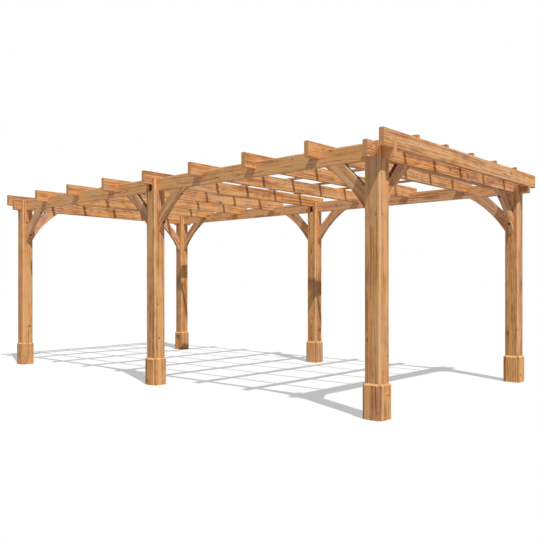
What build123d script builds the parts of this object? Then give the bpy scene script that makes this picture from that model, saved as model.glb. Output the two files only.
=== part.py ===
from build123d import *
import math
import os

os.makedirs("parts", exist_ok=True)

# Frame: millimetres, +Z up, ground at z = 0, origin under the middle of the roof.
# X runs along the long side from left to right, Y from the front to the back.

# Plan of the posts, centre to centre
bay_length = 2790.0  # one bay along the long side
frame_depth = 2930.0  # front row of posts to back row

# Posts
post_width = 150.0
post_chamfer = 14.0  # on the four upright edges
ply_groove_width = 5.0  # V joint on each side of the post's middle ply
ply_groove_depth = 2.5

# Timber of the beams, rafters and braces
timber_thickness = 45.0
timber_depth = 140.0
timber_arris = 4.0  # eased long edges
beam_top = 2262.0  # above the ground, level with the post horns
joint_clearance = 0.5  # each side of a timber in its slot, lap or notch

# Rafters
rafter_count = 9
rafter_overhang = 180.0  # post centre line to the end of a tail
rafter_notch = 67.0  # how far a rafter drops over the long beams
end_rafter_gap = 52.0  # corner post to the end rafter outside it

# Roof battens lying on the rafters
batten_count = 5
batten_spacing = 542.0
batten_width = 40.0
batten_height = 25.0
batten_arris = 2.0

# Arched braces
brace_reach = 445.0  # arched edge: from the post along the beam, and down the post
brace_heel = 232.0  # straight edge: the same two distances
arch_rise = 41.0  # depth of the arch behind its chord
screw_pocket_diameter = 25.0
screw_pocket_place = 345.0  # pocket axis from the post, or below the beam
screw_pocket_stop = 25.0  # timber left between the pocket's end and its joint

# Skirting boards round the foot of each post
skirt_thickness = 15.0
skirt_height = 295.0
skirt_side_gap = 1.0  # left and right boards stop this short of the post's corner
skirt_face_gap = 9.5  # front and back boards stop this short of it
skirt_arris = 2.0  # upright outer edges of the boards

cut_overrun = 1.0  # a cutting block runs this far past the timber

# Worked-out places
half_post = post_width / 2
half_timber = timber_thickness / 2
slot_width = timber_thickness + 2 * joint_clearance
beam_bottom = beam_top - timber_depth
lap_level = beam_top - timber_depth / 2
rafter_bottom = beam_top - rafter_notch
rafter_top = rafter_bottom + timber_depth
row_y = {"front": -frame_depth / 2, "back": frame_depth / 2}
column_x = {"left": -bay_length, "middle": 0.0, "right": bay_length}
end_rafter_x = bay_length + half_post + end_rafter_gap + half_timber
rafter_spacing = 2 * end_rafter_x / (rafter_count - 1)
beam_half_length = end_rafter_x + half_timber
rafter_half_length = frame_depth / 2 + rafter_overhang


def block(x_range, y_range, z_range):
    """A rectangular timber between three pairs of limits."""
    size = [high - low for low, high in (x_range, y_range, z_range)]
    centre = [(high + low) / 2 for low, high in (x_range, y_range, z_range)]
    return Pos(*centre) * Box(*size)


def around(centre, width):
    """The two limits of a width set out from its centre."""
    return (centre - width / 2, centre + width / 2)


def planed_timber(length, width, depth, arris):
    """A timber along X with eased long edges, centred on the origin."""
    section = chamfer(Rectangle(width, depth).vertices(), arris)
    return extrude(Plane.YZ * section, length / 2, both=True)


def save(solid, name):
    """Write one piece to its own file."""
    export_step(solid, f"parts/{name}.step")


def make_post(x, y):
    """Laminated post with chamfered edges and four horns round a crossed slot."""
    section = Rectangle(post_width, post_width)
    section = chamfer(section.vertices(), post_chamfer)
    shaft = extrude(section, beam_top)
    groove = Polygon(
        (-ply_groove_width / 2, 0),
        (0, ply_groove_depth),
        (ply_groove_width / 2, 0),
        align=(Align.CENTER, Align.MIN),
    )
    for side in (-1, 1):
        for ply_edge in (-slot_width / 2, slot_width / 2):
            cutter = extrude(groove, beam_top)
            turn = 0 if side < 0 else 180
            shaft -= Pos(ply_edge, side * half_post, 0) * Rot(0, 0, turn) * cutter
    slot_z = (beam_bottom, beam_top + cut_overrun)
    reach = (-post_width, post_width)
    shaft -= block(reach, around(0, slot_width), slot_z)
    shaft -= block(around(0, slot_width), reach, slot_z)
    return Pos(x, y, 0) * shaft


def make_skirt(x, y):
    """Four boards round a post foot, their tops bevelled, the front and back ones narrower."""
    board_profile = Polygon(
        (0, 0),
        (skirt_thickness, 0),
        (skirt_thickness, skirt_height - skirt_thickness),
        (0, skirt_height),
        align=None,
    )
    boards = []
    for turn, gap in enumerate((skirt_side_gap, skirt_face_gap) * 2):
        board = extrude(Plane.XZ * board_profile, half_post - gap, both=True)
        upright_edges = board.edges().filter_by(Axis.Z).group_by(Axis.X)[-1]
        board = chamfer(upright_edges, skirt_arris)
        boards.append(Pos(x, y, 0) * Rot(0, 0, 90 * turn) * Pos(half_post, 0, 0) * board)
    return Compound(children=boards)


def make_long_beam(y):
    """Beam through the posts, its underside halved where the end beams cross it."""
    beam = planed_timber(2 * beam_half_length, timber_thickness, timber_depth, timber_arris)
    beam = Pos(0, y, lap_level) * beam
    cut_z = (beam_bottom - cut_overrun, lap_level)
    for x in (column_x["left"], column_x["right"]):
        beam -= block(around(x, slot_width), around(y, post_width), cut_z)
    return beam


def make_end_beam(x):
    """Short beam across the frame, its top halved under the long beams."""
    beam = planed_timber(2 * rafter_half_length, timber_thickness, timber_depth, timber_arris)
    beam = Pos(x, 0, lap_level) * Rot(0, 0, 90) * beam
    cut_z = (lap_level, beam_top + cut_overrun)
    for y in row_y.values():
        beam -= block(around(x, post_width), around(y, slot_width), cut_z)
    return beam


def make_rafter(x):
    """Rafter with square tails, notched down over both long beams."""
    rafter = planed_timber(2 * rafter_half_length, timber_thickness, timber_depth, timber_arris)
    rafter = Pos(x, 0, (rafter_bottom + rafter_top) / 2) * Rot(0, 0, 90) * rafter
    notch_z = (rafter_bottom - cut_overrun, beam_top)
    for y in row_y.values():
        rafter -= block(around(x, post_width), around(y, slot_width), notch_z)
    return rafter


def make_batten(y):
    """Batten that lies on the rafters and ends flush with the outer two."""
    batten = planed_timber(2 * beam_half_length, batten_width, batten_height, batten_arris)
    return Pos(0, y, rafter_top + batten_height / 2) * batten


def make_brace():
    """Arched brace in its corner: post face at x = 0, beam underside at z = 0."""
    mid = (brace_reach / 2, -brace_reach / 2)
    into_corner = arch_rise / math.sqrt(2)
    arch_top = (mid[0] - into_corner, mid[1] + into_corner)
    with BuildSketch(Plane.XZ) as outline:
        with BuildLine():
            Line((0, -brace_reach), (0, -brace_heel))
            Line((0, -brace_heel), (brace_heel, 0))
            Line((brace_heel, 0), (brace_reach, 0))
            ThreePointArc((brace_reach, 0), arch_top, (0, -brace_reach))
        make_face()
    brace = extrude(outline.sketch, half_timber, both=True)
    side_edges = brace.faces().filter_by(Axis.Y).edges()
    arch_edges = side_edges.filter_by(GeomType.CIRCLE)
    heel_edges = side_edges.filter_by(Axis((0, 0, 0), (1, 0, 1)))
    brace = chamfer(arch_edges + heel_edges, timber_arris)
    pocket_length = brace_reach
    pocket = Cylinder(
        screw_pocket_diameter / 2,
        pocket_length,
        align=(Align.CENTER, Align.CENTER, Align.MAX),
    )
    brace -= Pos(screw_pocket_place, 0, -screw_pocket_stop) * pocket
    brace -= Pos(screw_pocket_stop, 0, -screw_pocket_place) * Rot(0, -90, 0) * pocket
    return brace


def place_brace(brace, x, y, turn):
    """Set a brace against the post at (x, y), reaching out at a turn from +X."""
    return Pos(x, y, beam_bottom) * Rot(0, 0, turn) * Pos(half_post, 0, 0) * brace


for row, y in row_y.items():
    for column, x in column_x.items():
        save(make_post(x, y), f"post_{row}_{column}")
        save(make_skirt(x, y), f"skirt_{row}_{column}")
    save(make_long_beam(y), f"long_beam_{row}")

for side in ("left", "right"):
    save(make_end_beam(column_x[side]), f"end_beam_{side}")

for index in range(rafter_count):
    rafter_x = -end_rafter_x + index * rafter_spacing
    save(make_rafter(rafter_x), f"rafter_{index + 1}")

for index in range(batten_count):
    batten_y = (index - (batten_count - 1) / 2) * batten_spacing
    save(make_batten(batten_y), f"batten_{index + 1}")

brace = make_brace()
for row, y in row_y.items():
    inward = 90 if row == "front" else -90
    save(place_brace(brace, column_x["left"], y, 0), f"brace_{row}_left_along")
    save(place_brace(brace, column_x["left"], y, inward), f"brace_{row}_left_across")
    save(place_brace(brace, column_x["middle"], y, 180), f"brace_{row}_middle_left")
    save(place_brace(brace, column_x["middle"], y, 0), f"brace_{row}_middle_right")
    save(place_brace(brace, column_x["right"], y, 180), f"brace_{row}_right_along")
    save(place_brace(brace, column_x["right"], y, inward), f"brace_{row}_right_across")
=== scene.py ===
import math
import bpy
import numpy as np
from mathutils import Matrix, Vector


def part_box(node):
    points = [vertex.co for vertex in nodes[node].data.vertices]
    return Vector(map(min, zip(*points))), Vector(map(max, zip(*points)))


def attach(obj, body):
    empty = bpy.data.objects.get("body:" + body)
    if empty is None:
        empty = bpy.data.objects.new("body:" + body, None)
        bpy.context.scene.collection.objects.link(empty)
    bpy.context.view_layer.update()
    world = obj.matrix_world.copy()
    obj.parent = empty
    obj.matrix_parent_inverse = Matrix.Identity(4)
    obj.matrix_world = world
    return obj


# Lengths are metres and colours linear all through.
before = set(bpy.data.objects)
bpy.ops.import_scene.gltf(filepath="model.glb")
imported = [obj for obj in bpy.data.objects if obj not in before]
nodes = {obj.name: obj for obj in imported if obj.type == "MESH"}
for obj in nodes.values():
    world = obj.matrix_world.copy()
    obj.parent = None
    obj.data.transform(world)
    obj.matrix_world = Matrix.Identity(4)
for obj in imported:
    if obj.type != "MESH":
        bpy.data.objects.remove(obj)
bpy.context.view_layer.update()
print("frame loaded:", len(nodes), "nodes")


def bench(tree):
    # returns a maker of nodes: inputs may be sockets to join or plain values to set
    def add(kind, *inputs, **settings):
        node = tree.nodes.new(kind)
        for key, value in settings.items():
            setattr(node, key, value)
        for index, value in enumerate(inputs):
            join(node.inputs[index], value)
        return node

    def join(socket, value):
        if isinstance(value, bpy.types.NodeSocket):
            tree.links.new(value, socket)
        elif value is not None:
            socket.default_value = value

    def maths(operation, *values):
        return add("ShaderNodeMath", *values, operation=operation).outputs[0]

    def vectors(operation, *values):
        node = add("ShaderNodeVectorMath", *values, operation=operation)
        return node.outputs["Value" if operation == "DOT_PRODUCT" else 0]

    def split(vector):
        return add("ShaderNodeSeparateXYZ", vector).outputs

    def combine(*parts):
        return add("ShaderNodeCombineXYZ", *parts).outputs[0]

    def place():
        return add("ShaderNodeTexCoord").outputs["Object"]

    def normal():
        return add("ShaderNodeNewGeometry").outputs["True Normal"]

    add.join = join
    add.math = maths
    add.vector = vectors
    add.split = split
    add.combine = combine
    add.place = place
    add.normal = normal
    return add


def fade(add, value, low, high, lowOut=0.0, highOut=1.0):
    # smooth step: lowOut below low, highOut above high
    inputs = (value, low, high, lowOut, highOut)
    return add("ShaderNodeMapRange", *inputs, interpolation_type="SMOOTHSTEP").outputs[0]


def centred(add, value, weight, base):
    # base plus the weight times how far the value is above a half
    return add.math("MULTIPLY_ADD", add.math("SUBTRACT", value, 0.5), weight, base)


def blendColour(add, factor, first, second):
    # sockets 0, 6 and 7 of a colour mix are its factor and its two colours
    node = add("ShaderNodeMix", data_type="RGBA", clamp_factor=True)
    for index, value in ((0, factor), (6, first), (7, second)):
        add.join(node.inputs[index], value)
    return node.outputs[2]


def noiseAt(add, vector, along, across, detail=2.0, roughness=0.5):
    # noise that changes so many times a metre along the first axis and across it
    node = add("ShaderNodeTexNoise", noise_dimensions="3D")
    add.join(node.inputs["Vector"], add.vector("MULTIPLY", vector, (along, across, across)))
    for label, value in (("Scale", 1.0), ("Detail", detail), ("Roughness", roughness)):
        node.inputs[label].default_value = value
    return node.outputs


def chanceOf(add, key):
    # a value from 0 to 1 that is the same wherever the key is the same
    node = add("ShaderNodeTexWhiteNoise", noise_dimensions="1D")
    add.join(node.inputs["W"], key)
    return node.outputs[0]


def newGroup(name, inputs, outputs):
    # inputs and outputs are {name: (kind, default)}, kinds Float, Vector and Color
    tree = bpy.data.node_groups.new(name, "ShaderNodeTree")
    for direction, sockets in (("INPUT", inputs), ("OUTPUT", outputs)):
        for label, (kind, default) in sockets.items():
            kind = "NodeSocket" + kind
            socket = tree.interface.new_socket(name=label, in_out=direction, socket_type=kind)
            if default is not None:
                socket.default_value = default
    add = bench(tree)
    return tree, add, add("NodeGroupInput").outputs, add("NodeGroupOutput").inputs


def useGroup(add, label, values):
    # one of the node groups with its own values: returns its outputs
    node = add("ShaderNodeGroup", node_tree=groups[label])
    for name, value in values.items():
        add.join(node.inputs[name], value)
    return node.outputs


def newMaterial(name):
    material = bpy.data.materials.new(name)
    material.use_nodes = True
    material.node_tree.nodes.clear()
    return material, bench(material.node_tree)


# Camera, sun, sky and floor
stageSet = {
    "imageSide": 540,
    "focalPixels": 672.3,  # focal length in pixels of the square image
    "imageCentre": (232.8, 284.5),
    "sensorWidth": 36.0,  # millimetres
    "viewDepth": 200.0,
    "cameraPlace": (5.7085, -6.2733, 1.0988),
    "cameraTurn": 0.7566,  # radians to the left of +Y, held level
    "sunTravel": (-0.54, 0.245, -1.0),
    "sunStrength": 3.15,
    "sunColour": (1.0, 0.975, 0.94),
    "sunSpread": 0.6,  # degrees, a little softness in the shadow edges
    "skyStrength": 0.185,
    "skyColour": (0.94, 0.97, 1.0, 1.0),
    "white": (1.0, 1.0, 1.0, 1.0),
    "floorColour": (0.39, 0.39, 0.39, 1.0),  # what the object gets back from the floor
    "floorSeen": (0.57, 0.585, 0.605, 1.0),  # what the camera sees, with the lift below
    "floorLift": 0.415,  # brings the lit floor up to white and keeps the shadow
    "floorHalf": 60.0,
}


def makeCamera():
    side = stageSet["imageSide"]
    centre = stageSet["imageCentre"]
    camera = bpy.data.cameras.new("camera")
    camera.sensor_width = stageSet["sensorWidth"]
    camera.lens = stageSet["focalPixels"] * stageSet["sensorWidth"] / side
    camera.shift_x = (side / 2 - centre[0]) / side
    camera.shift_y = (centre[1] - side / 2) / side
    camera.clip_end = stageSet["viewDepth"]
    cameraObject = bpy.data.objects.new("camera", camera)
    cameraObject.location = stageSet["cameraPlace"]
    cameraObject.rotation_euler = (math.pi / 2, 0.0, stageSet["cameraTurn"])
    bpy.context.scene.collection.objects.link(cameraObject)
    bpy.context.scene.camera = cameraObject
    bpy.context.scene.view_settings.view_transform = "Standard"
    print("camera made")


def makeSun():
    sun = bpy.data.lights.new("sun", "SUN")
    sun.energy = stageSet["sunStrength"]
    sun.color = stageSet["sunColour"]
    sun.angle = math.radians(stageSet["sunSpread"])
    sunObject = bpy.data.objects.new("sun", sun)
    sunObject.rotation_euler = Vector(stageSet["sunTravel"]).to_track_quat("-Z", "Y").to_euler()
    bpy.context.scene.collection.objects.link(sunObject)
    print("sun made")


def makeSky():
    # the sky lights the object, and behind it the camera sees plain white
    world = bpy.data.worlds.new("paleSky")
    bpy.context.scene.world = world
    world.use_nodes = True
    world.node_tree.nodes.clear()
    add = bench(world.node_tree)
    path = add("ShaderNodeLightPath").outputs
    seen = add.math("MAXIMUM", path["Is Camera Ray"], path["Is Glossy Ray"])
    seen = add.math("MAXIMUM", seen, path["Is Transmission Ray"])
    skyLight = add("ShaderNodeBackground", stageSet["skyColour"], stageSet["skyStrength"])
    whiteBack = add("ShaderNodeBackground", stageSet["white"], 1.0)
    mixed = add("ShaderNodeMixShader", seen, skyLight.outputs[0], whiteBack.outputs[0])
    add("ShaderNodeOutputWorld", mixed.outputs[0])
    print("sky made")


def makeFloor():
    half = stageSet["floorHalf"]
    mesh = bpy.data.meshes.new("floor")
    corners = [(-half, -half, 0.0), (half, -half, 0.0), (half, half, 0.0), (-half, half, 0.0)]
    mesh.from_pydata(corners, [], [(0, 1, 2, 3)])
    floor = bpy.data.objects.new("floor", mesh)
    bpy.context.scene.collection.objects.link(floor)
    material, add = newMaterial("paleFloor")
    seen = add("ShaderNodeLightPath").outputs["Is Camera Ray"]
    colour = blendColour(add, seen, stageSet["floorColour"], stageSet["floorSeen"])
    shade = add("ShaderNodeBsdfDiffuse", colour, 0.0)
    lift = add.math("MULTIPLY", seen, stageSet["floorLift"])
    glow = add("ShaderNodeEmission", stageSet["white"], lift)
    both = add("ShaderNodeAddShader", shade.outputs[0], glow.outputs[0])
    add("ShaderNodeOutputMaterial", both.outputs[0])
    mesh.materials.append(material)
    print("floor made")


# Colours of the stained softwood
stain = {
    "goldPale": (0.985, 0.512, 0.190, 1.0),  # early wood where the stain lies warm
    "goldDeep": (0.485, 0.162, 0.042, 1.0),  # late wood and dark streaks there
    "mauvePale": (0.950, 0.570, 0.325, 1.0),  # the same two where it lies cooler
    "mauveDeep": (0.400, 0.165, 0.092, 1.0),
    "edgeHighlight": (0.960, 0.620, 0.300, 1.0),  # painted highlight on eased edges
    "end": (0.700, 0.345, 0.145, 1.0),  # end grain
    "knot": (0.240, 0.085, 0.030, 1.0),
    "knotRim": (0.110, 0.040, 0.016, 1.0),
    "soaked": (0.060, 0.036, 0.034, 1.0),  # painted shade in a post's slots, in a brace's pockets and on its upper face, and round batten screw heads, with the dark glue lines of the plies; nearly black
}
# The log that a timber is cut from, and its years
log = {
    "seedStep": 3.17,  # a seed of 1 moves the figure this far along
    "wanderTurns": (1.1, 3.0),  # how often a metre its heart strays, along and across
    "wander": 0.06,  # how far it strays, from one side to the other
    "taper": 0.005,  # a metre further along counts as this much further from the heart
    "yearWidth": 0.0046,
    "yearStray": 1.6,  # most years that a ring is out of true
    "strayAcross": 30.0,  # how often a metre that changes from ring to ring
    "yearSharp": 1.7,  # above 1 the dark late wood is the narrow part of a year
    "radianWidth": 0.09,  # a radian round the heart counts as this far
}
# The figure runs from 0, all pale, to 1, all deep. It is a middle value and these noises:
# how often a metre each changes along and across the grain, how much it adds, its detail
# and roughness, and whether it follows the years as they bend.
figureNoises = {
    "streaks": {"turns": (0.7, 60.0), "adds": 3.5, "detail": 3.0, "rough": 0.62, "bent": True},
    "grain": {"turns": (1.2, 115.0), "adds": 2.8, "detail": 3.0, "rough": 0.6, "bent": False},
    "lines": {"turns": (1.1, 220.0), "adds": 1.8, "detail": 2.0, "rough": 0.5, "bent": True},
    "patches": {"turns": (1.4, 11.0), "adds": 1.5, "detail": 2.0, "rough": 0.5, "bent": True},
    "blotches": {"turns": (7.0, 10.0), "adds": 1.5, "detail": 2.0, "rough": 0.6, "bent": False},
}
# The same for the stain's hue, which is golden at 0 and mauve at 1
hueNoises = {
    "clouds": {"turns": (3.0, 9.0), "adds": 2.4, "detail": 2.0, "rough": 0.5, "bent": False},
    "stripes": {"turns": (0.6, 48.0), "adds": 4.4, "detail": 3.0, "rough": 0.6, "bent": True},
}
figure = {
    "middle": 0.48,
    "hueMiddle": 0.5,
    "softEnds": (-0.20, 1.15),  # below and above these it is all pale and all deep
    "fibre": (11.0, 430.0),  # how often a metre it changes, along and across
    "fibreAdds": 0.55,
    "yearsAdd": 0.42,
    "flecks": (3.0, 170.0),
    "fleckEdge": (0.60, 0.74),
    "flecksAdd": 0.20,
}
# How strongly each mark's colour covers the figure
cover = {
    "end": 0.80,
    "endYears": (0.9, 0.62),  # the end colour's change with the years, and its middle
    "halo": 0.40,
    "pinHalo": 0.30,
    "knot": 0.66,
    "knotRings": 0.14,  # how much its own rings change that
    "rim": 0.50,
    "pin": 0.80,
    "pinRim": 0.35,
    "edgeHighlight": 0.70,
    "soaked": 1.0,
    "shadeAndGlueFibre": (1.2, 0.3),  # the change of the painted shade and glue lines with the fibre, and its middle
}
# Roughness of plain timber, and what the fibre and each mark add to it
gloss = {
    "plain": 0.62,
    "fibre": 0.22,
    "knot": -0.12,
    "end": 0.14,
    "soaked": 0.20,
    "specular": 0.35,  # level of the sheen, the same all over
}
# The same for its height, and the bump that the height makes
relief = {
    "plain": 0.5,
    "years": 0.7,
    "fibre": 0.9,
    "flecks": -0.25,
    "knot": 0.4,
    "bumpStrength": 0.5,
    "bumpDepth": 0.0012,
}
# Knots over length and angle: how far apart they are, the share of places that have one,
# and their least and further radius
knotKinds = {
    "branch": {"every": 0.36, "share": 0.40, "least": 0.007, "further": 0.013},
    "pin": {"every": 0.13, "share": 0.42, "least": 0.0025, "further": 0.005},
}
knotForm = {
    "cellStretch": 1.5,  # they are half as far apart again along the grain
    "radianWidth": 0.12,  # a radian round the heart counts as this far
    "seedStep": 1.71,  # a seed of 1 moves them this much round, in cells
    "edge": (0.55, 1.15),  # a knot's colour ends between these shares of its radius
    "rimHalf": 0.34,  # half the width of its dark rim, a share too
    "halo": (0.6, 3.4),  # the dark grain round it ends between these
    "bend": 1.3,  # the years beside it are out by this many radii
    "ringTurns": 3400.0,  # its own rings, in radians a metre
}


def knotsAt(add, length, angle, seed, kind):
    # one cell grid of knots: returns the knot, its rim and its halo as masks, the distance
    # from its middle and its radius
    every = kind["every"]
    cellX = add.math("DIVIDE", length, every * knotForm["cellStretch"])
    seedShift = add.math("MULTIPLY", seed, knotForm["seedStep"])
    cellY = add.math("MULTIPLY_ADD", angle, knotForm["radianWidth"] / every, seedShift)
    cells = add("ShaderNodeTexVoronoi", voronoi_dimensions="2D", feature="F1")
    add.join(cells.inputs["Vector"], add.combine(cellX, cellY, 0.0))
    cells.inputs["Scale"].default_value = 1.0
    chance = add.split(cells.outputs["Color"])
    away = add.math("MULTIPLY", cells.outputs["Distance"], every)
    present = add.math("LESS_THAN", chance[0], kind["share"])
    large = add.math("MULTIPLY", chance[1], chance[1])
    radius = add.math("MULTIPLY_ADD", large, kind["further"], kind["least"])
    ratio = add.math("DIVIDE", away, radius)
    knot = add.math("MULTIPLY", present, fade(add, ratio, *knotForm["edge"], 1.0, 0.0))
    fromRim = add.math("ABSOLUTE", add.math("SUBTRACT", ratio, 1.0))
    rim = add.math("MULTIPLY", present, fade(add, fromRim, 0.0, knotForm["rimHalf"], 1.0, 0.0))
    halo = fade(add, ratio, *knotForm["halo"], 1.0, 0.0)
    halo = add.math("MULTIPLY", present, add.math("MULTIPLY", halo, halo))
    return knot, rim, halo, away, radius


def roundHeart(add, parts, heart, place):
    # distance from the log's heart, which strays along the log, and the angle round it,
    # measured from the direction of the timber's middle
    stray = add.split(noiseAt(add, place, *log["wanderTurns"], detail=1.0)["Color"])
    across = []
    for index in (1, 2):
        wander = add.math("MULTIPLY_ADD", stray[index], log["wander"], -log["wander"] / 2)
        offset = add.math("SUBTRACT", parts[index], heart[index])
        across.append(add.math("ADD", offset, wander))
    y, z = across
    square = add.math("ADD", add.math("MULTIPLY", y, y), add.math("MULTIPLY", z, z))
    radius = add.math("MULTIPLY_ADD", parts[0], log["taper"], add.math("SQRT", square))
    inY = add.math("MULTIPLY", heart[1], y)
    inZ = add.math("MULTIPLY", heart[2], z)
    inward = add.math("MULTIPLY", add.math("ADD", inY, inZ), -1.0)
    sideZ = add.math("MULTIPLY", heart[1], z)
    sideY = add.math("MULTIPLY", heart[2], y)
    return radius, add.math("ARCTAN2", add.math("SUBTRACT", sideZ, sideY), inward)


def yearAt(add, length, radius, angle):
    # a year is one turn of a sine of the radius over its width: 0 early wood, 1 late wood
    across = add.math("MULTIPLY", radius, log["strayAcross"])
    stray = noiseAt(add, add.combine(length, across, angle), 1.0, 1.0, detail=1.0)[0]
    count = add.math("DIVIDE", radius, log["yearWidth"])
    count = add.math("MULTIPLY_ADD", stray, log["yearStray"], count)
    wave = add.math("SINE", add.math("MULTIPLY", count, 2 * math.pi))
    return add.math("POWER", add.math("MULTIPLY_ADD", wave, 0.5, 0.5), log["yearSharp"])


def addNoises(add, noises, start, place, flow):
    # start plus what each noise adds, times how far it is above a half
    for noise in noises.values():
        vector = flow if noise["bent"] else place
        value = noiseAt(add, vector, *noise["turns"], noise["detail"], noise["rough"])[0]
        start = centred(add, value, noise["adds"], start)
    return start


def makeTimberGroup():
    # years: distance from the heart of the log, which lies beside the timber, folded into
    # bands; streaks: noise drawn out along the grain over (length, distance, angle), so it
    # follows the years; knots: cells over (length, angle), each bending the years round it
    inputs = {
        "Vector": ("Vector", None),
        "Seed": ("Float", 0.0),
        "Heart": ("Vector", (0.0, 0.09, 0.02)),
        "Tone": ("Float", 0.0),
        "Warmth": ("Float", 0.0),
        "End": ("Float", 0.0),
        "Arris": ("Float", 0.0),
        "Shade And Glue": ("Float", 0.0),
    }
    outputs = {"Color": ("Color", None), "Roughness": ("Float", None), "Height": ("Float", None)}
    tree, add, given, out = newGroup("stainedTimber", inputs, outputs)
    parts = add.split(given["Vector"])
    heart = add.split(given["Heart"])
    length = add.math("ADD", parts[0], add.math("MULTIPLY", given["Seed"], log["seedStep"]))
    place = add.combine(length, parts[1], parts[2])
    radius, angle = roundHeart(add, parts, heart, place)
    where = (length, angle, given["Seed"])
    knot, rim, halo, away, knotRadius = knotsAt(add, *where, knotKinds["branch"])
    pin, pinRim, pinHalo = knotsAt(add, *where, knotKinds["pin"])[:3]
    bend = add.math("MULTIPLY", knotRadius, knotForm["bend"])
    radius = add.math("MULTIPLY_ADD", halo, bend, radius)
    year = yearAt(add, length, radius, angle)
    flow = add.combine(length, radius, add.math("MULTIPLY", angle, log["radianWidth"]))

    # the figure, and the two hues of its pale and deep wood
    fibre = noiseAt(add, place, *figure["fibre"])[0]
    fleck = noiseAt(add, place, *figure["flecks"], detail=1.0)[0]
    fleck = fade(add, fleck, *figure["fleckEdge"])
    deepness = addNoises(add, figureNoises, figure["middle"], place, flow)
    deepness = centred(add, fibre, figure["fibreAdds"], deepness)
    deepness = centred(add, year, figure["yearsAdd"], deepness)
    deepness = add.math("MULTIPLY_ADD", fleck, figure["flecksAdd"], deepness)
    deepness = fade(add, add.math("SUBTRACT", deepness, given["Tone"]), *figure["softEnds"])
    hue = addNoises(add, hueNoises, figure["hueMiddle"], place, flow)
    hue = add.math("SUBTRACT", hue, given["Warmth"])
    pale = blendColour(add, hue, stain["goldPale"], stain["mauvePale"])
    deep = blendColour(add, hue, stain["goldDeep"], stain["mauveDeep"])
    colour = blendColour(add, deepness, pale, deep)

    # the marks over it, one after the other; the last paints shade and the glue lines nearly black
    endYears = centred(add, year, *cover["endYears"])
    endColour = blendColour(add, endYears, pale, stain["end"])
    # the nearly black colour of the painted shade and the glue lines
    shadeAndGlueFibre = centred(add, fibre, *cover["shadeAndGlueFibre"])
    shadeAndGlueColour = blendColour(add, shadeAndGlueFibre, stain["soaked"], stain["knot"])
    knotRings = add.math("SINE", add.math("MULTIPLY", away, knotForm["ringTurns"]))
    knotCover = add.math("MULTIPLY_ADD", knotRings, cover["knotRings"], cover["knot"])
    for mask, strength, markColour in (
        (given["End"], cover["end"], endColour),
        (halo, cover["halo"], stain["goldDeep"]),
        (pinHalo, cover["pinHalo"], stain["goldDeep"]),
        (knot, knotCover, stain["knot"]),
        (rim, cover["rim"], stain["knotRim"]),
        (pin, cover["pin"], stain["knot"]),
        (pinRim, cover["pinRim"], stain["knotRim"]),
        (given["Arris"], cover["edgeHighlight"], stain["edgeHighlight"]),
        (given["Shade And Glue"], cover["soaked"], shadeAndGlueColour),
    ):
        colour = blendColour(add, add.math("MULTIPLY", mask, strength), colour, markColour)
    add.join(out["Color"], colour)

    rough = centred(add, fibre, gloss["fibre"], gloss["plain"])
    for mask, label in ((knot, "knot"), (given["End"], "end"), (given["Shade And Glue"], "soaked")):
        rough = add.math("MULTIPLY_ADD", mask, gloss[label], rough)
    add.join(out["Roughness"], rough)
    high = centred(add, year, relief["years"], relief["plain"])
    high = centred(add, fibre, relief["fibre"], high)
    for mask, label in ((fleck, "flecks"), (knot, "knot")):
        high = add.math("MULTIPLY_ADD", mask, relief[label], high)
    add.join(out["Height"], high)
    return tree


paintedEdgeHighlight = {
    "turns": 9.0,  # how often a metre the painted highlight comes and goes
    "detail": 3.0,
    "noiseEdge": (0.3, 0.6),
    "least": 0.45,  # share of the painted highlight that is left everywhere
}


def makeEdgeGroup():
    # a painted highlight on eased edges: twice the sine times the cosine of the angle between the
    # face and the given axis, 1 on a 45 degree edge and 0 on a flat, broken up by noise
    inputs = {"Axis": ("Vector", (0.0, 1.0, 0.0))}
    tree, add, given, out = newGroup("paintedEdgeHighlight", inputs, {"Mask": ("Float", None)})
    cosine = add.vector("DOT_PRODUCT", add.normal(), given["Axis"])
    square = add.math("SUBTRACT", 1.0, add.math("MULTIPLY", cosine, cosine))
    sine = add.math("SQRT", add.math("MAXIMUM", square, 0.0))
    product = add.math("MULTIPLY", add.math("ABSOLUTE", cosine), sine)
    oblique = add.math("MULTIPLY", product, 2.0)
    turns = paintedEdgeHighlight["turns"]
    noise = noiseAt(add, add.place(), turns, turns, paintedEdgeHighlight["detail"])[0]
    broken = fade(add, noise, *paintedEdgeHighlight["noiseEdge"], paintedEdgeHighlight["least"], 1.0)
    add.join(out["Mask"], add.math("MULTIPLY", oblique, broken))
    return tree


plies = {
    "half": 0.023,  # half the thickness of the middle ply
    "edge": (0.0035, 0.0060),  # the painted highlight beside a V joint ends between these
    "glue": (0.0006, 0.0013),  # and the dark glue line in it between these
    "glueDark": 0.8,
    "chanceStep": 5.3,
    "shift": 4.7,  # each ply's figure is this much further along
    "aside": 0.05,  # and somewhere in this width to the side
    "toneSpread": 0.30,
}


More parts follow.
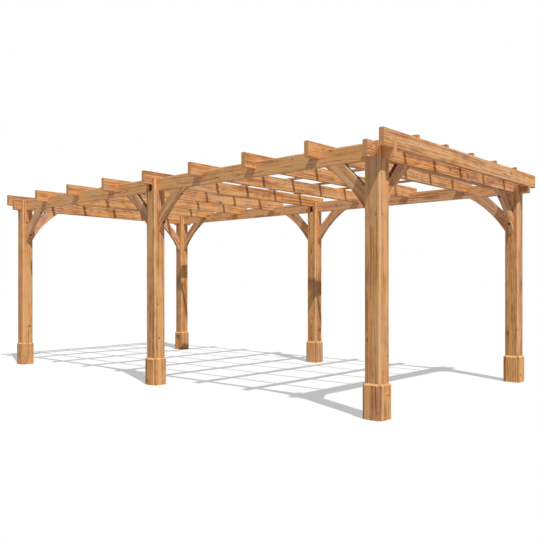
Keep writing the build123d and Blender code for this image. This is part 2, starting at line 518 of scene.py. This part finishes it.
def makePlyGroup():
    # a laminated post is three boards: the ply number steps at the two joints across
    # the third axis, and moves the figure and the tone of each board
    inputs = {"Vector": ("Vector", None), "Seed": ("Float", 0.0)}
    outputs = {
        "Vector": ("Vector", None),
        "Tone": ("Float", None),
        "Edges": ("Float", None),
        "Glue": ("Float", None),
    }
    tree, add, given, out = newGroup("plies", inputs, outputs)
    across = add.split(given["Vector"])[2]
    fromJoint = add.math("SUBTRACT", add.math("ABSOLUTE", across), plies["half"])
    fromJoint = add.math("ABSOLUTE", fromJoint)
    add.join(out["Edges"], fade(add, fromJoint, *plies["edge"], 1.0, 0.0))
    add.join(out["Glue"], fade(add, fromJoint, *plies["glue"], plies["glueDark"], 0.0))
    past = [add.math("GREATER_THAN", across, joint) for joint in (plies["half"], -plies["half"])]
    number = add.math("ADD", *past)
    chance = chanceOf(add, add.math("MULTIPLY_ADD", number, plies["chanceStep"], given["Seed"]))
    along = add.math("MULTIPLY", number, plies["shift"])
    aside = centred(add, chance, plies["aside"], 0.0)
    add.join(out["Vector"], add.vector("ADD", given["Vector"], add.combine(along, aside, 0.0)))
    add.join(out["Tone"], centred(add, chance, plies["toneSpread"], 0.0))
    return tree


boards = {
    "chanceStep": 2.9,
    "shift": 2.3,  # each board's figure is this much further along
    "aside": 0.08,  # and somewhere in this width to the side
    "toneSpread": 0.30,
}


def makeBoardGroup():
    # four boards round a post: the side comes from which of the two cross axes is larger
    # and from its sign, and moves the figure and the tone of each board
    inputs = {"Vector": ("Vector", None), "Seed": ("Float", 0.0)}
    outputs = {"Vector": ("Vector", None), "Tone": ("Float", None)}
    tree, add, given, out = newGroup("boardsRound", inputs, outputs)
    parts = add.split(given["Vector"])
    sizes = [add.math("ABSOLUTE", part) for part in (parts[1], parts[2])]
    wide = add.math("GREATER_THAN", *sizes)
    sign = add.math("GREATER_THAN", add.math("ADD", parts[1], parts[2]), 0.0)
    number = add.math("MULTIPLY_ADD", wide, 2.0, sign)
    chance = chanceOf(add, add.math("MULTIPLY_ADD", number, boards["chanceStep"], given["Seed"]))
    along = add.math("MULTIPLY", number, boards["shift"])
    aside = centred(add, chance, boards["aside"], 0.0)
    add.join(out["Vector"], add.vector("ADD", given["Vector"], add.combine(along, aside, 0.0)))
    add.join(out["Tone"], centred(add, chance, boards["toneSpread"], 0.0))
    return tree


slotShade = {
    "inside": (-0.020, -0.005),  # painted shade: all dark below the first, and none above the second
    # how dark the painted shade is
    "dark": 0.75,
}


def makeSlotShadeGroup():
    # painted shade on the walls of a post's slots: their faces look to the middle of the post, so
    # the distance from the middle along the face's normal is negative there
    inputs = {"Middle": ("Vector", None)}
    tree, add, given, out = newGroup("slotShade", inputs, {"Mask": ("Float", None)})
    fromMiddle = add.vector("SUBTRACT", add.place(), given["Middle"])
    level = add.vector("MULTIPLY", fromMiddle, (1.0, 1.0, 0.0))
    outwards = add.vector("DOT_PRODUCT", add.normal(), level)
    add.join(out["Mask"], fade(add, outwards, *slotShade["inside"], slotShade["dark"], 0.0))
    return tree


battenScrews = {
    "radius": 0.0042,
    "edge": (0.94, 1.0),  # the head ends between these shares of its radius
    "rim": (1.0, 1.3),  # and the rim of painted shade round it between these
    "rimShade": 0.7,
    "star": (0.44, 0.50),  # and the star recess in it, painted as shade, between these
    "starPoints": 6.0,
    "starDepth": 0.10,
    "steel": (0.56, 0.53, 0.46, 1.0),
    # the shade painted in the star recess
    "recess": (0.03, 0.028, 0.025, 1.0),
    "roughness": 0.38,
}


def makeScrewRowGroup():
    # screw heads sunk flush in a batten, one over each rafter: distance from the nearest of a row
    # of points a pitch apart, as a head, a rim of painted shade round it and a star recess painted
    # as shade, whose edge goes in and out by the cosine of the angle times its number of points
    inputs = {"Vector": ("Vector", None), "Pitch": ("Float", 0.735)}
    outputs = {"Head": ("Float", None), "Rim": ("Float", None), "Star": ("Float", None)}
    tree, add, given, out = newGroup("screwRow", inputs, outputs)
    parts = add.split(given["Vector"])
    nearest = add.math("ROUND", add.math("DIVIDE", parts[0], given["Pitch"]))
    along = add.math("SUBTRACT", parts[0], add.math("MULTIPLY", nearest, given["Pitch"]))
    squares = [add.math("MULTIPLY", item, item) for item in (along, parts[2])]
    away = add.math("SQRT", add.math("ADD", *squares))
    ratio = add.math("DIVIDE", away, battenScrews["radius"])
    upper = add.math("GREATER_THAN", parts[1], 0.0)
    for label, ends in (("Head", battenScrews["edge"]), ("Rim", battenScrews["rim"])):
        add.join(out[label], add.math("MULTIPLY", upper, fade(add, ratio, *ends, 1.0, 0.0)))
    turn = add.math("MULTIPLY", add.math("ARCTAN2", along, parts[2]), battenScrews["starPoints"])
    starred = add.math("COSINE", turn)
    starred = add.math("MULTIPLY_ADD", starred, -battenScrews["starDepth"], ratio)
    add.join(out["Star"], fade(add, starred, *battenScrews["star"], 1.0, 0.0))
    return tree


# The two screw pockets of a brace, seen from the corner of its post and its beam
pockets = {
    "place": 0.345,  # a pocket's axis from the post, or below the beam
    "floor": 0.025,  # its end below the beam, or from the post
    "radius": 0.0128,
}


def makePocketGroup():
    # the screw pockets: within their radius of one of the two axes, which stand at the same
    # distance from the corner along each leg; shade is painted inside them where this mask is
    inputs = {label: ("Float", 0.0) for label in ("From Post", "Under Beam", "Aside")}
    tree, add, given, out = newGroup("screwPockets", inputs, {"Mask": ("Float", None)})
    aside = add.math("MULTIPLY", given["Aside"], given["Aside"])
    masks = []
    for leg in ("From Post", "Under Beam"):
        off = add.math("SUBTRACT", given[leg], pockets["place"])
        away = add.math("SQRT", add.math("MULTIPLY_ADD", off, off, aside))
        masks.append(add.math("LESS_THAN", away, pockets["radius"]))
    add.join(out["Mask"], add.math("MAXIMUM", *masks))
    return tree


# Faces told by the cosine between their normal and a direction: none below the first
# value, and all above the second
facing = {
    "end": (0.80, 0.95),  # end grain
    "upper": (0.80, 0.95),  # a brace's straight upper face
    # how dark the shade painted on it is
    "upperShade": 0.9,
}


def bracePaintedShade(add, corner, grain, face):
    # painted shade on a brace, nearly black: on its straight upper face, which looks back to the
    # post and up, and on the insides of its screw pockets
    outward = Vector((grain.x, grain.y, 0.0)).normalized()
    upper = (Vector((0, 0, 1)) - outward).normalized()
    toUpper = add.vector("DOT_PRODUCT", add.normal(), tuple(upper))
    upperFaceShade = fade(add, toUpper, *facing["upper"], 0.0, facing["upperShade"])
    fromCorner = add.vector("SUBTRACT", add.place(), tuple(corner))
    values = {}
    for label, way in (("From Post", outward), ("Under Beam", (0.0, 0.0, -1.0)), ("Aside", face)):
        values[label] = add.vector("DOT_PRODUCT", fromCorner, tuple(way))
    return add.math("MAXIMUM", upperFaceShade, useGroup(add, "pockets", values)["Mask"])


def timberMaterial(name, centre, grain, face, kind, look):
    # grain is the direction of the fibres and face the thin way through the timber;
    # the Mapping node turns them to the first two axes of the figure, with its middle at 0
    first = Vector(grain).normalized()
    second = Vector(face).normalized()
    turn = Matrix((first, second, first.cross(second)))
    material, add = newMaterial(name)
    mapping = add("ShaderNodeMapping", add.place(), vector_type="POINT")
    mapping.inputs["Rotation"].default_value = turn.to_euler()
    mapping.inputs["Location"].default_value = -(turn @ Vector(centre))
    toGrain = add.vector("DOT_PRODUCT", add.normal(), tuple(first))
    values = {
        "Vector": mapping.outputs[0],
        "Seed": look["seed"],
        "Heart": look["heart"],
        "Tone": look["tone"],
        "Warmth": look["warmth"],
        "End": fade(add, add.math("ABSOLUTE", toGrain), *facing["end"]),
        "Arris": useGroup(add, "edge", {"Axis": tuple(second)})["Mask"],
    }
    if kind in ("post", "skirt"):
        label = "plies" if kind == "post" else "boards"
        cut = useGroup(add, label, {"Vector": values["Vector"], "Seed": look["seed"]})
        values["Vector"] = cut["Vector"]
        values["Tone"] = add.math("ADD", cut["Tone"], look["tone"])
    if kind == "post":
        # painted shade on the slot walls, joined with the dark glue lines of the plies
        slotWallShade = useGroup(add, "slots", {"Middle": centre})["Mask"]
        # painted highlight on the chamfers and beside the V joints
        values["Arris"] = add.math("MAXIMUM", values["Arris"], cut["Edges"])
        values["Shade And Glue"] = add.math("MAXIMUM", slotWallShade, cut["Glue"])
    if kind == "brace":
        # painted shade on the brace's upper face and in its screw pockets
        values["Shade And Glue"] = bracePaintedShade(add, look["corner"], first, second)
    wood = useGroup(add, "timber", values)
    colour = wood["Color"]
    rough = wood["Roughness"]
    shader = add("ShaderNodeBsdfPrincipled")
    shader.inputs["Specular IOR Level"].default_value = gloss["specular"]
    if kind == "batten":
        screws = useGroup(add, "screws", {"Vector": values["Vector"], "Pitch": look["pitch"]})
        # the star recess and the rim round each head are painted shade
        steel = blendColour(add, screws["Star"], battenScrews["steel"], battenScrews["recess"])
        rim = add.math("MULTIPLY", screws["Rim"], battenScrews["rimShade"])
        colour = blendColour(add, rim, colour, stain["soaked"])
        colour = blendColour(add, screws["Head"], colour, steel)
        rough = fade(add, screws["Head"], 0.0, 1.0, rough, battenScrews["roughness"])
        add.join(shader.inputs["Metallic"], screws["Head"])
    bump = add("ShaderNodeBump")
    bump.inputs["Strength"].default_value = relief["bumpStrength"]
    bump.inputs["Distance"].default_value = relief["bumpDepth"]
    add.join(bump.inputs["Height"], wood["Height"])
    add.join(shader.inputs["Base Color"], colour)
    add.join(shader.inputs["Roughness"], rough)
    add.join(shader.inputs["Normal"], bump.outputs[0])
    add("ShaderNodeOutputMaterial", shader.outputs[0])
    return material


# How each kind of timber is cut and stained: tone is lighter above 0, spread is how much
# the pieces of a kind differ, warmth is more golden above 0, and heart is how far the
# log's heart lies from the timber.
timberKinds = {
    "post": {"tone": 0.13, "spread": 0.06, "warmth": 0.38, "heart": (0.10, 0.02)},
    "skirt": {"tone": 0.36, "spread": 0.05, "warmth": 0.46, "heart": (0.11, 0.03)},
    "long_beam_back": {"tone": 0.42, "spread": 0.05, "warmth": 0.12, "heart": (0.085, 0.02)},
    "long_beam_front": {"tone": 0.64, "spread": 0.05, "warmth": 0.15, "heart": (0.085, 0.02)},
    "end_beam": {"tone": 0.00, "spread": 0.05, "warmth": -0.10, "heart": (0.085, 0.03)},
    "rafter": {"tone": 0.13, "spread": 0.05, "warmth": 0.17, "heart": (0.08, 0.03)},
    "batten": {"tone": -0.10, "spread": 0.08, "warmth": 0.10, "heart": (0.07, 0.04)},
    "brace": {"tone": 0.26, "spread": 0.07, "warmth": -0.18, "heart": (0.085, 0.02)},
}
# Grain and face directions of every kind but the brace, whose corner gives its own
directions = {
    "post": ((0, 0, 1), (0, 1, 0)),
    "skirt": ((0, 0, 1), (0, 1, 0)),
    "long_beam_back": ((1, 0, 0), (0, 1, 0)),
    "long_beam_front": ((1, 0, 0), (0, 1, 0)),
    "end_beam": ((0, 1, 0), (1, 0, 0)),
    "rafter": ((0, 1, 0), (1, 0, 0)),
    "batten": ((1, 0, 0), (0, 0, 1)),
}
# What is drawn by chance for each piece, between these
pieceChance = {
    "drawSeed": 11,  # starts the draws, so that they are the same each time
    "seed": (0.0, 40.0),
    "warmth": (-0.12, 0.12),
    "heart": (0.8, 1.3),
}


def middleOf(name):
    low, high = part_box(name)
    return (Vector(low) + Vector(high)) / 2


def braceCorner(name):
    # the point where a brace's post and beam meet, in the brace's middle plane, and the
    # direction from the post outwards
    low, high = (Vector(corner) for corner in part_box(name))
    row, column = name.split("_")[1:3]
    away = middleOf(name) - middleOf("post_" + row + "_" + column)
    if abs(away.x) > abs(away.y):
        outward = Vector((math.copysign(1, away.x), 0, 0))
    else:
        outward = Vector((0, math.copysign(1, away.y), 0))
    reach = abs((high - low).dot(outward)) / 2
    corner = middleOf(name) - outward * reach
    corner.z = high.z
    return corner, outward


def dressTimbers():
    random = np.random.default_rng(pieceChance["drawSeed"])
    for name in sorted(nodes):
        kind = next(key for key in timberKinds if name.startswith(key))
        cut = timberKinds[kind]
        side = random.choice((-1.0, 1.0))
        look = {
            "seed": float(random.uniform(*pieceChance["seed"])),
            "tone": cut["tone"] + float(random.uniform(-1, 1)) * cut["spread"],
            "warmth": cut["warmth"] + float(random.uniform(*pieceChance["warmth"])),
            "heart": (0.0, side * cut["heart"][0] * float(random.uniform(*pieceChance["heart"])),
                      cut["heart"][1] * float(random.uniform(-1, 1))),
        }
        if kind == "brace":
            look["corner"], outward = braceCorner(name)
            grain = outward + Vector((0, 0, 1))
            face = Vector((outward.y, outward.x, 0)).normalized()
        else:
            grain, face = directions[kind]
        if kind == "batten":
            look["pitch"] = middleOf("rafter_2").x - middleOf("rafter_1").x
        material = timberMaterial(name + "_stain", middleOf(name), grain, face, kind, look)
        mesh = nodes[name].data
        if not mesh.materials:
            mesh.materials.append(material)
        for slot in nodes[name].material_slots:
            slot.material = material
    print("timbers stained:", len(nodes))


zincSteel = {
    "bright": (0.60, 0.58, 0.52, 1.0),
    "dull": (0.33, 0.319, 0.286, 1.0),
    "roughness": (0.34, 0.54),  # where it is bright and where it is dull
    "turns": 260.0,  # how often a metre it goes from one to the other
    "detail": 3.0,
    "noiseRough": 0.6,
    "noiseEdge": (0.3, 0.7),
}


def makeSteel():
    # zinc plated steel: a faint cloudy change of gloss and tone
    material, add = newMaterial("zincPlatedSteel")
    turns = zincSteel["turns"]
    cloud = noiseAt(add, add.place(), turns, turns, zincSteel["detail"], zincSteel["noiseRough"])[0]
    dullness = fade(add, cloud, *zincSteel["noiseEdge"])
    rough = fade(add, cloud, *zincSteel["noiseEdge"], *zincSteel["roughness"])
    shader = add("ShaderNodeBsdfPrincipled")
    shader.inputs["Metallic"].default_value = 1.0
    colour = blendColour(add, dullness, zincSteel["bright"], zincSteel["dull"])
    add.join(shader.inputs["Base Color"], colour)
    add.join(shader.inputs["Roughness"], rough)
    add("ShaderNodeOutputMaterial", shader.outputs[0])
    return material


def makeTurned(name, form, places, axes, material):
    # a surface of revolution set at every place, its height along the axis given there:
    # point = place + radius (cos a, sin a) in the plane across the axis + height * axis
    places = np.asarray(places, dtype=float)
    axes = np.asarray(axes, dtype=float)
    upright = np.abs(axes[:, 2:3]) > 0.5
    helper = np.where(upright, [[1.0, 0.0, 0.0]], [[0.0, 0.0, 1.0]])
    first = np.cross(helper, axes)
    first /= np.linalg.norm(first, axis=1, keepdims=True)
    second = np.cross(axes, first)
    radius, height = np.asarray(form["profile"]).T[..., None, None, None]
    rings = len(form["profile"])
    sides = form["sides"]
    turn = np.arange(sides)[:, None, None] * 2 * np.pi / sides
    ring = np.cos(turn) * first + np.sin(turn) * second  # side, place, xyz
    points = places + radius * ring + height * axes
    points = points.transpose(2, 0, 1, 3).reshape(-1, 3)  # place, ring, side
    row, side = np.meshgrid(np.arange(rings - 1), np.arange(sides), indexing="ij")
    here = row * sides + side
    beside = row * sides + (side + 1) % sides
    corners = np.stack((here, beside, beside + sides, here + sides), axis=-1).reshape(-1, 4)
    shift = np.arange(len(places))[:, None] * rings * sides
    quads = (corners + shift[..., None]).reshape(-1, 4)
    base = np.arange(sides)[::-1] + shift
    cap = np.arange(sides) + (rings - 1) * sides + shift
    mesh = bpy.data.meshes.new(name)
    mesh.from_pydata(points.tolist(), [], quads.tolist() + base.tolist() + cap.tolist())
    mesh.materials.append(material)
    piece = bpy.data.objects.new(name, mesh)
    bpy.context.scene.collection.objects.link(piece)
    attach(piece, "root")
    print(name.replace("_", " ") + " made:", len(places))


# Profiles of fasteners are (radius, height) pairs from the timber's face outwards, and a
# flat cap closes each end.
braceScrew = {
    "profile": ((0.0066, -0.0004), (0.0066, 0.0010), (0.0060, 0.0014), (0.0042, 0.0016),
                (0.0037, 0.0030), (0.0029, 0.0034), (0.0019, 0.0034), (0.0012, 0.0018)),
    "sides": 12,
}


def makeBraceScrews(material):
    # on the floors of the pockets, one up into the beam and one sideways into the post
    down = Vector((0, 0, -1))
    places = []
    axes = []
    for name in sorted(nodes):
        if name.startswith("brace_"):
            corner, outward = braceCorner(name)
            places.append(corner + outward * pockets["place"] + down * pockets["floor"])
            places.append(corner + outward * pockets["floor"] + down * pockets["place"])
            axes += [down, outward]
    makeTurned("brace_screws", braceScrew, places, axes, material)


rafterScrew = {
    "profile": ((0.0046, -0.0004), (0.0050, 0.0002), (0.0048, 0.0007), (0.0040, 0.0009),
                (0.0021, 0.0009), (0.0012, 0.0003)),
    "sides": 12,
}


def makeRafterScrews(material):
    # one down through each rafter over each long beam
    places = []
    for name in sorted(nodes):
        if name.startswith("rafter_"):
            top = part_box(name)[1][2]
            for row in ("front", "back"):
                places.append((middleOf(name).x, middleOf("long_beam_" + row).y, top))
    axes = [(0.0, 0.0, 1.0)] * len(places)
    makeTurned("rafter_screws", rafterScrew, places, axes, material)


skirtBrad = {
    "profile": ((0.0015, -0.0003), (0.0015, 0.0001), (0.0011, 0.0003)),
    "sides": 8,
    "levels": (0.045, 0.245),  # above the ground
    "aside": 0.050,  # either side of a board's middle
}


def makeSkirtBrads(material):
    # four in each board, at two levels and either side of its middle
    places = []
    axes = []
    for name in sorted(nodes):
        if name.startswith("skirt_"):
            low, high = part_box(name)
            half = (high[0] - low[0]) / 2
            for x, y in ((1, 0), (0, 1), (-1, 0), (0, -1)):
                for level in skirtBrad["levels"]:
                    for sign in (-1, 1):
                        aside = Vector((-y, x, 0)) * sign * skirtBrad["aside"]
                        place = middleOf(name) + Vector((x, y, 0)) * half + aside
                        places.append((place.x, place.y, level))
                        axes.append((x, y, 0))
    makeTurned("skirt_brads", skirtBrad, places, axes, material)


makeCamera()
makeSun()
makeSky()
makeFloor()
groups = {
    "timber": makeTimberGroup(),
    "edge": makeEdgeGroup(),
    "plies": makePlyGroup(),
    "boards": makeBoardGroup(),
    "slots": makeSlotShadeGroup(),
    "pockets": makePocketGroup(),
    "screws": makeScrewRowGroup(),
}
print("node groups built:", len(groups))
dressTimbers()
steelUsed = makeSteel()
makeBraceScrews(steelUsed)
makeRafterScrews(steelUsed)
makeSkirtBrads(steelUsed)
